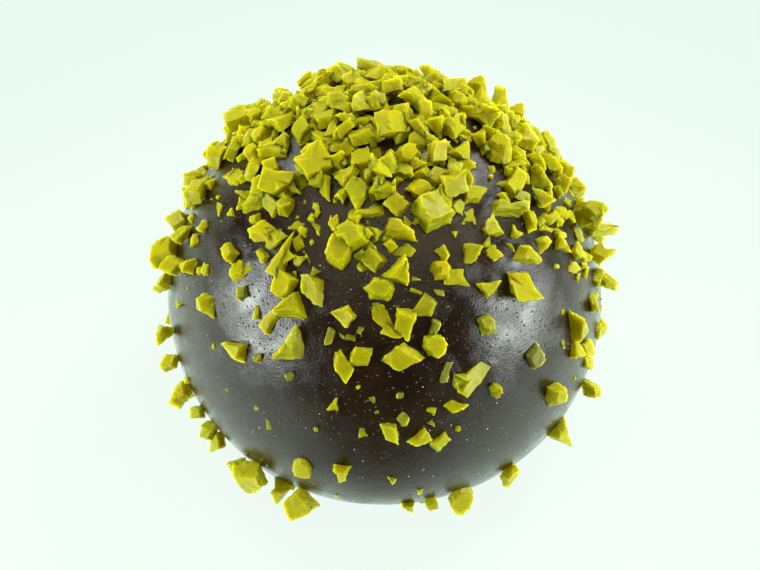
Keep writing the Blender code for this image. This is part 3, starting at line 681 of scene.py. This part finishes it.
def roughen(bm, rng, length, width):
    """Makes a chip's edges and faces as ragged as those of something brittle that broke."""
    for edge in bm.edges[:]:
        steps = min(MOST_STEPS, round(edge.calc_length() / EDGE_STEP))
        if steps > 1:
            bmesh.ops.bisect_edges(bm, edges=[edge], cuts=steps - 1)
    for hollow in range(rng.choice(HOLLOWS)):
        hollow_out(bm, rng, length, width)
    curl = rng.uniform(-CURL, CURL) * width / length ** 2
    knock = min(KNOCK, KNOCK_SHARE * width)
    offset = Vector([rng.uniform(-WARP_REACH, WARP_REACH) for axis in range(3)])
    for vert in bm.verts:
        vert.co.x += curl * vert.co.y ** 2
        moved = noise.noise_vector(vert.co / WARP_SPAN + offset) * WARP_RISE
        moved += noise.noise_vector(vert.co / KNOCK_SPAN + offset) * knock
        moved.z *= ACROSS
        vert.co += moved
    bm.normal_update()
    upper = [face for face in bm.faces if face.normal.z > UPPER]
    bmesh.ops.inset_individual(bm, faces=upper, thickness=RIM_SHARE * width, use_even_offset=False)
    rise = rng.uniform(*DOME_RISE) * width
    bmesh.ops.poke(bm, faces=[face for face in bm.faces if len(face.verts) > 4], offset=rise)
    bmesh.ops.triangulate(bm, faces=bm.faces[:])


def new_kind():
    """An empty mesh for all the pieces of one kind, each with its own tone."""
    bm = bmesh.new()
    bm.verts.layers.float.new("tone")
    return bm


def add_to(bm, piece, tone):
    """Joins one piece to the mesh of its kind."""
    first = len(bm.verts)
    mesh = bpy.data.meshes.new("piece")
    piece.to_mesh(mesh)
    piece.free()
    bm.from_mesh(mesh)
    bpy.data.meshes.remove(mesh)
    layer = bm.verts.layers.float["tone"]
    bm.verts.ensure_lookup_table()
    for number in range(first, len(bm.verts)):
        bm.verts[number][layer] = tone


def all_chips(places):
    """The chips, in the places and shapes that the solid has them, with their broken faces."""
    bm = new_kind()
    noise.seed_set(WARP_SEED)
    rows = strewn_chips(places)
    for number, chip in enumerate(rows):
        piece = broken_chip(random.Random(SEED + number), chip.length, chip.width, chip.kind)
        rng = random.Random(SEED + number + len(rows))
        roughen(piece, rng, chip.length, chip.width)
        lay_on_coat(piece, places, chip)
        stained = in_bare_front(chip.around, chip.down) and chip.length < STAINED_LENGTH
        add_to(bm, piece, rng.uniform(*STAINED_TONES) if stained else rng.random())
    return bm


def all_crumbs(places):
    """Crumbs that broke off the chips, most of them around the cap."""
    bm = new_kind()
    rng = random.Random(CRUMB_SEED)
    laid = 0
    while laid < CRUMB_COUNT:
        around = rng.uniform(-180, 180)
        down = rng.uniform(0, places.reach - CLEAR_EDGE)
        point = places.at(around, down)[0]
        if rng.random() > (CRUMB_SPREAD + cover(down)) * math.hypot(point.x, point.y) / COAT_RADIUS:
            continue
        if in_bare_front(around, down) and rng.random() > BARE_CRUMBS:
            continue
        length = rng.uniform(*CRUMB_SIZE)
        width = length * rng.uniform(NARROWEST, 1)
        kind = rng.choice(CRUMB_KINDS)
        piece = broken_chip(rng, length, width, kind)
        lift = rng.uniform(*CRUMB_LIFT)
        lean = rng.uniform(0, STEEP_LEAN)
        roll = rng.uniform(-1, 1) * STEEP_ROLL
        crumb = Chip(around, down, length, width, rng.uniform(-180, 180), kind, lean, roll, lift)
        lay_on_coat(piece, places, crumb)
        add_to(bm, piece, rng.random())
        laid += 1
    return bm


def all_dust(places):
    """Pale specks of sugar dust on the coat."""
    bm = new_kind()
    rng = random.Random(DUST_SEED)
    for speck in range(DUST_COUNT):
        down = math.sqrt(rng.random()) * (places.reach - CLEAR_EDGE)
        point, slope, normal = places.at(rng.uniform(-180, 180), down)
        piece = bmesh.new()
        bmesh.ops.create_icosphere(piece, subdivisions=1, radius=rng.uniform(*DUST_RADIUS))
        stretch = [rng.uniform(*DUST_UNEVEN) for axis in range(3)]
        bmesh.ops.scale(piece, verts=piece.verts[:], vec=stretch)
        bmesh.ops.translate(piece, verts=piece.verts[:], vec=point + normal * DUST_LIFT)
        add_to(bm, piece, rng.random())
    return bm


def as_piece(bm, name, material, smooth_below):
    """A named piece of the praline. Its edges are smooth below an angle in degrees."""
    mesh = bpy.data.meshes.new(name)
    bm.to_mesh(mesh)
    bm.free()
    mesh.shade_smooth()
    mesh.set_sharp_from_angle(angle=math.radians(smooth_below))
    mesh.materials.append(material)
    piece = bpy.data.objects.new(name, mesh)
    bpy.context.scene.collection.objects.link(piece)
    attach(piece, "root")
    return piece


def node(tree, kind, settings=(), **inputs):
    """Adds a shader node with its settings and the plain values of its inputs."""
    made = tree.nodes.new(kind)
    for name, value in dict(settings).items():
        setattr(made, name, value)
    for name, value in inputs.items():
        made.inputs[name.replace("_", " ")].default_value = value
    return made


def feed(tree, socket, value):
    """Gives a socket a plain value or another node's output."""
    if isinstance(value, bpy.types.NodeSocket):
        tree.links.new(value, socket)
    else:
        socket.default_value = value


def maths_of(tree, operation, first, second):
    """What a maths node makes of two values."""
    made = node(tree, "ShaderNodeMath", {"operation": operation})
    feed(tree, made.inputs[0], first)
    feed(tree, made.inputs[1], second)
    return made.outputs[0]


def spread(tree, value, low, high, to_low=0.0, to_high=1.0):
    """Stretches a value's range from low and high to two others, and stops it there."""
    made = node(tree, "ShaderNodeMapRange", From_Min=low, From_Max=high, To_Min=to_low, To_Max=to_high)
    feed(tree, made.inputs["Value"], value)
    return made.outputs["Result"]


def blend_of(tree, share, first, second):
    """A colour between two."""
    made = node(tree, "ShaderNodeMix", {"data_type": "RGBA"})
    feed(tree, made.inputs[MIX_SHARE], share)
    feed(tree, made.inputs[MIX_FIRST], first)
    feed(tree, made.inputs[MIX_SECOND], second)
    return made.outputs[MIX_RESULT]


def noise_of(tree, place, span, detail=CLOUD_DETAIL):
    """A cloudy value between 0 and 1 whose clouds are about span metres across."""
    made = node(tree, "ShaderNodeTexNoise", Scale=1 / span, Detail=detail)
    feed(tree, made.inputs["Vector"], place)
    return made.outputs["Fac"]


def grain_group():
    """Fine grain that comes and goes over a surface: its height, and where it lies."""
    group = bpy.data.node_groups.new("fine grain", "ShaderNodeTree")
    group.interface.new_socket(name="Place", in_out="INPUT", socket_type="NodeSocketVector")
    group.interface.new_socket(name="Scale", in_out="INPUT", socket_type="NodeSocketFloat")
    group.interface.new_socket(name="Height", in_out="OUTPUT", socket_type="NodeSocketFloat")
    group.interface.new_socket(name="Patches", in_out="OUTPUT", socket_type="NodeSocketFloat")
    given = node(group, "NodeGroupInput")
    made = node(group, "NodeGroupOutput")
    fine = node(group, "ShaderNodeTexNoise", Detail=GRAIN_DETAIL, Roughness=GRAIN_STRENGTH)
    feed(group, fine.inputs["Vector"], given.outputs["Place"])
    feed(group, fine.inputs["Scale"], given.outputs["Scale"])
    wide = node(group, "ShaderNodeTexNoise", Detail=SMOOTH_DETAIL)
    feed(group, wide.inputs["Vector"], given.outputs["Place"])
    feed(group, wide.inputs["Scale"], maths_of(group, "DIVIDE", given.outputs["Scale"], PATCH_WIDTH))
    feed(group, made.inputs["Patches"], spread(group, wide.outputs["Fac"], *PATCH_EDGE))
    grained = spread(group, wide.outputs["Fac"], *PATCH_EDGE, LEAST_GRAIN, 1.0)
    feed(group, made.inputs["Height"], maths_of(group, "MULTIPLY", fine.outputs["Fac"], grained))
    return group


def grain_of(tree, group, place, span):
    """The fine grain in a material, its grains about span metres across, as (height, patches)."""
    made = node(tree, "ShaderNodeGroup", {"node_tree": group}, Scale=1 / span)
    feed(tree, made.inputs["Place"], place)
    return made.outputs["Height"], made.outputs["Patches"]


def new_material(name):
    """A material with its nodes, its surface shader and the place on the piece."""
    material = bpy.data.materials.new(name)
    material.use_nodes = True
    tree = material.node_tree
    place = node(tree, "ShaderNodeTexCoord").outputs["Object"]
    return material, tree, tree.nodes["Principled BSDF"], place


def relief(tree, shader, height, depth):
    """Gives the surface fine relief, depth metres deep."""
    bump = node(tree, "ShaderNodeBump", Strength=1.0, Distance=depth)
    feed(tree, bump.inputs["Height"], height)
    feed(tree, shader.inputs["Normal"], bump.outputs["Normal"])


def dark_chocolate(group):
    """Glossy dark chocolate with fine grain, small pits darkened with painted shade, and duller patches.
    """
    material, tree, shader, place = new_material("dark chocolate")
    grain, patches = grain_of(tree, group, place, COAT_GRAIN)
    cells = node(tree, "ShaderNodeTexVoronoi", Scale=1 / PIT_SPACING)
    feed(tree, cells.inputs["Vector"], place)
    pits = spread(tree, cells.outputs["Distance"], PIT_RADIUS / PIT_SPACING, 0.0)
    height = maths_of(tree, "SUBTRACT", grain, maths_of(tree, "MULTIPLY", pits, PIT_SHARE))
    relief(tree, shader, height, COAT_RELIEF)
    cloud = spread(tree, noise_of(tree, place, COAT_CLOUD), *COAT_CLOUD_EDGE)
    colour = blend_of(tree, cloud, CHOCOLATE, CHOCOLATE_PALE)
    # The pits are painted darker here: painted shade in the pits.
    feed(tree, shader.inputs["Base Color"], blend_of(tree, pits, colour, PIT_PAINTED_SHADE))
    feed(tree, shader.inputs["Roughness"], spread(tree, patches, 0.0, 1.0, *COAT_ROUGHNESS))
    shader.inputs["IOR"].default_value = BEND_OF_LIGHT
    return material


def broken_sugar(group):
    """Waxy yellow sugar that lets a little light through, each chip in its own tone."""
    material, tree, shader, place = new_material("broken yellow sugar")
    grain, patches = grain_of(tree, group, place, CHIP_GRAIN)
    tone = node(tree, "ShaderNodeAttribute", {"attribute_name": "tone"}).outputs["Fac"]
    colour = blend_of(tree, tone, SUGAR_LIME, SUGAR_GOLD)
    pale = spread(tree, noise_of(tree, place, PALE_CLOUD), *PALE_EDGE, 0.0, PALE_MOST)
    colour = blend_of(tree, pale, colour, SUGAR_PALE)
    shade = noise_of(tree, place, OLIVE_SHADE, SMOOTH_DETAIL)
    shade = spread(tree, shade, *OLIVE_EDGE, 0.0, OLIVE_MOST)
    greener = spread(tree, tone, OLIVE_BELOW, 0.0, 0.0, OLIVE_TONE)
    colour = blend_of(tree, maths_of(tree, "ADD", shade, greener), colour, SUGAR_OLIVE)
    colour = blend_of(tree, spread(tree, tone, 0.0, -1.0), colour, SUGAR_STAINED)
    speck = spread(tree, noise_of(tree, place, WHITE_SPECK), *SPECK_EDGE, 0.0, SPECK_MOST)
    colour = blend_of(tree, speck, colour, SUGAR_WHITE)
    feed(tree, shader.inputs["Base Color"], colour)
    feed(tree, shader.inputs["Roughness"], spread(tree, patches, 0.0, 1.0, *CHIP_ROUGHNESS))
    wave = noise_of(tree, place, CHIP_WAVE, SMOOTH_DETAIL)
    wave = maths_of(tree, "MULTIPLY", wave, WAVE_RELIEF / CHIP_RELIEF)
    relief(tree, shader, maths_of(tree, "ADD", grain, wave), CHIP_RELIEF)
    shader.inputs["IOR"].default_value = BEND_OF_LIGHT
    shader.inputs["Specular IOR Level"].default_value = CHIP_SHINE
    shader.inputs["Subsurface Weight"].default_value = CHIP_CLEARNESS
    shader.inputs["Subsurface Radius"].default_value = GLOW_COLOURS
    shader.inputs["Subsurface Scale"].default_value = CHIP_GLOW
    return material


def sugar_dust():
    """Pale dust, some specks whiter than others."""
    material, tree, shader, place = new_material("pale sugar dust")
    tone = node(tree, "ShaderNodeAttribute", {"attribute_name": "tone"}).outputs["Fac"]
    feed(tree, shader.inputs["Base Color"], blend_of(tree, tone, DUST_CREAM, DUST_WHITE))
    shader.inputs["Roughness"].default_value = DUST_ROUGHNESS
    return material


def pale_table():
    """The pale table, seen with painted shade towards the back. It shines on the praline from the sides
    and back.
    """
    bm = bmesh.new()
    bmesh.ops.create_grid(bm, x_segments=1, y_segments=1, size=TABLE_SIZE / 2)
    mesh = bpy.data.meshes.new("table")
    bm.to_mesh(mesh)
    bm.free()
    material, tree, shader, place = new_material("pale table")
    parts = node(tree, "ShaderNodeSeparateXYZ")
    feed(tree, parts.inputs["Vector"], place)
    aside = maths_of(tree, "ABSOLUTE", parts.outputs["X"], 0.0)
    ahead = maths_of(tree, "ADD", parts.outputs["Y"], maths_of(tree, "MULTIPLY", aside, DIM_SPREAD))
    dimness = spread(tree, maths_of(tree, "MULTIPLY", ahead, -1.0), *DIM_EDGE)
    seen = node(tree, "ShaderNodeLightPath").outputs["Is Camera Ray"]
    reach = node(tree, "ShaderNodeVectorMath", {"operation": "LENGTH"})
    feed(tree, reach.inputs[0], place)
    shadow = spread(tree, reach.outputs["Value"], *NEAR_EDGE, NEAR_DIM, 0.0)
    wane = spread(tree, reach.outputs["Value"], *WANE_EDGE, 0.0, WANE_DIM)
    dimness = maths_of(tree, "MAXIMUM", dimness, maths_of(tree, "MAXIMUM", shadow, wane))
    shining = blend_of(tree, dimness, TABLE_BRIGHT, TABLE_DIM)
    # The table as seen fades to a darker tone towards the back: painted shade.
    behind = maths_of(tree, "ADD", parts.outputs["Y"], maths_of(tree, "MULTIPLY", aside, PAINTED_SHADE_SPREAD))
    looks = blend_of(tree, spread(tree, behind, *PAINTED_SHADE_EDGE), TABLE_SEEN, TABLE_SEEN_PAINTED_SHADE)
    feed(tree, shader.inputs["Emission Color"], blend_of(tree, seen, shining, looks))
    shader.inputs["Emission Strength"].default_value = 1.0
    shader.inputs["Base Color"].default_value = TABLE_COLOUR
    shader.inputs["Roughness"].default_value = TABLE_ROUGHNESS
    shader.inputs["Specular IOR Level"].default_value = 0.0
    mesh.materials.append(material)
    table = bpy.data.objects.new("table", mesh)
    bpy.context.scene.collection.objects.link(table)


def pale_room():
    """A room that looks pale but is dim below a softly lit ceiling."""
    world = bpy.data.worlds.new("room")
    bpy.context.scene.world = world
    world.use_nodes = True
    tree = world.node_tree
    parts = node(tree, "ShaderNodeSeparateXYZ")
    feed(tree, parts.inputs["Vector"], node(tree, "ShaderNodeTexCoord").outputs["Generated"])
    height = spread(tree, parts.outputs["Z"], *CEILING_BAND)
    seen = node(tree, "ShaderNodeLightPath").outputs["Is Camera Ray"]
    shining = blend_of(tree, height, ROOM_DIM, CEILING_DIM)
    shining = blend_of(tree, spread(tree, parts.outputs["Z"], *GLOW_BAND), shining, CEILING_GLOW)
    feed(tree, tree.nodes["Background"].inputs["Color"], blend_of(tree, seen, shining, ROOM_SEEN))


def soft_boxes():
    """Soft boxes to the sides and behind."""
    for name, direction, width, tall, brightness in SOFT_BOXES:
        light = bpy.data.lights.new(name, "AREA")
        light.shape = "RECTANGLE"
        light.size = width
        light.size_y = tall
        light.color = LAMP_COLOUR
        light.energy = brightness * math.pi * width * tall
        box = bpy.data.objects.new(name, light)
        outward = Vector(direction).normalized()
        turned = outward.to_track_quat("Z", "Y").to_matrix().to_4x4()
        box.matrix_world = Matrix.Translation(LOOKED_AT + outward * BOX_DISTANCE) @ turned
        bpy.context.scene.collection.objects.link(box)


def photograph_camera():
    """Looks down at the praline from the front."""
    camera = bpy.data.cameras.new("camera")
    camera.sensor_width = SENSOR_WIDTH
    camera.lens = VIEW_LENS
    camera.clip_start = NEAREST_SEEN
    stand = bpy.data.objects.new("camera", camera)
    rise = math.radians(VIEW_RISE)
    stand.location = LOOKED_AT + Vector((0, -math.cos(rise), math.sin(rise))) * VIEW_DISTANCE
    stand.rotation_euler = (math.pi / 2 - rise, 0, 0)
    bpy.context.scene.collection.objects.link(stand)
    bpy.context.scene.camera = stand


def build():
    """The praline on its table, with its lights and camera."""
    places = CoatPlaces()
    grain = grain_group()
    chocolate = dark_chocolate(grain)
    sugar = broken_sugar(grain)
    chips = all_chips(places)
    coat = as_piece(coat_surface(places, chips), "coat", chocolate, SMOOTH_COAT)
    broken = as_piece(chips, "chips", sugar, SHARP_FROM)
    crumbs = as_piece(all_crumbs(places), "crumbs", sugar, SHARP_FROM)
    dust = as_piece(all_dust(places), "dust", sugar_dust(), SHARP_FROM)
    for piece in (coat, broken):
        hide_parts("praline")
    pale_table()
    pale_room()
    soft_boxes()
    photograph_camera()
    bpy.context.scene.view_settings.view_transform = "Standard"


build()
